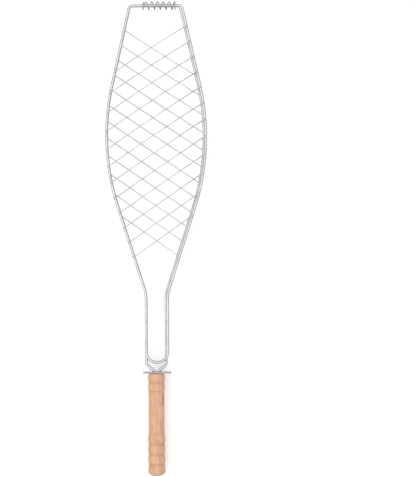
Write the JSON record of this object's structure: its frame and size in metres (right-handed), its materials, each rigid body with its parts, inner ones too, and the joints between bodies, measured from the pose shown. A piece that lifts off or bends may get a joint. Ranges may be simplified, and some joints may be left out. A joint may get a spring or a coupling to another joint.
{
  "type": "grill basket",
  "caption": "Long-handled wire basket for grilling fish: two bowed wire halves on a coil hinge, a sliding lock ring and a turned wooden handle.",
  "frame": {"origin": "centre of the bounding box on the plane that the basket's lower cross wires lie on", "axes": "+Z out of the lid, +Y along the length towards the hinge, the handle towards -Y"},
  "size_m": [0.1233, 0.5718, 0.0354],
  "materials": {
    "frame_wire": "bright plated steel wire, lightly drawn along its length",
    "cross_wire": "bright plated thin wire",
    "spring_wire": "plated wire, a little duller than the rest",
    "ring_wire": "plated wire, scuffed by sliding",
    "handle_wood": "turned pale beech, bare and finely sanded"
  },
  "bodies": {
    "root": {"lower_frame": "frame_wire", "hinge_coil": "spring_wire", "handle": "handle_wood", "lower_wire_1": "cross_wire", "lower_wire_2": "cross_wire", "lower_wire_3": "cross_wire", "lower_wire_4": "cross_wire", "lower_wire_5": "cross_wire", "lower_wire_6": "cross_wire", "lower_wire_7": "cross_wire", "lower_wire_8": "cross_wire", "lower_wire_9": "cross_wire", "lower_wire_10": "cross_wire", "lower_wire_11": "cross_wire", "lower_wire_12": "cross_wire"},
    "lid": {"lid_frame": "frame_wire", "lid_wire_1": "cross_wire", "lid_wire_2": "cross_wire", "lid_wire_3": "cross_wire", "lid_wire_4": "cross_wire", "lid_wire_5": "cross_wire", "lid_wire_6": "cross_wire", "lid_wire_7": "cross_wire", "lid_wire_8": "cross_wire", "lid_wire_9": "cross_wire", "lid_wire_10": "cross_wire", "lid_wire_11": "cross_wire", "lid_wire_12": "cross_wire"},
    "lock_ring": {"lock_ring": "ring_wire"}
  },
  "joints": [
    {"name": "lid_hinge", "type": "hinge", "parent": "root", "child": "lid", "pos_m": [0, 0.2806, 0.01924], "axis": [-1, 0, 0], "range_deg": [0, 180]},
    {"name": "ring_slide", "type": "slide", "parent": "root", "child": "lock_ring", "axis": [0, 1, 0], "range_m": [0, 0.09]}
  ]
}
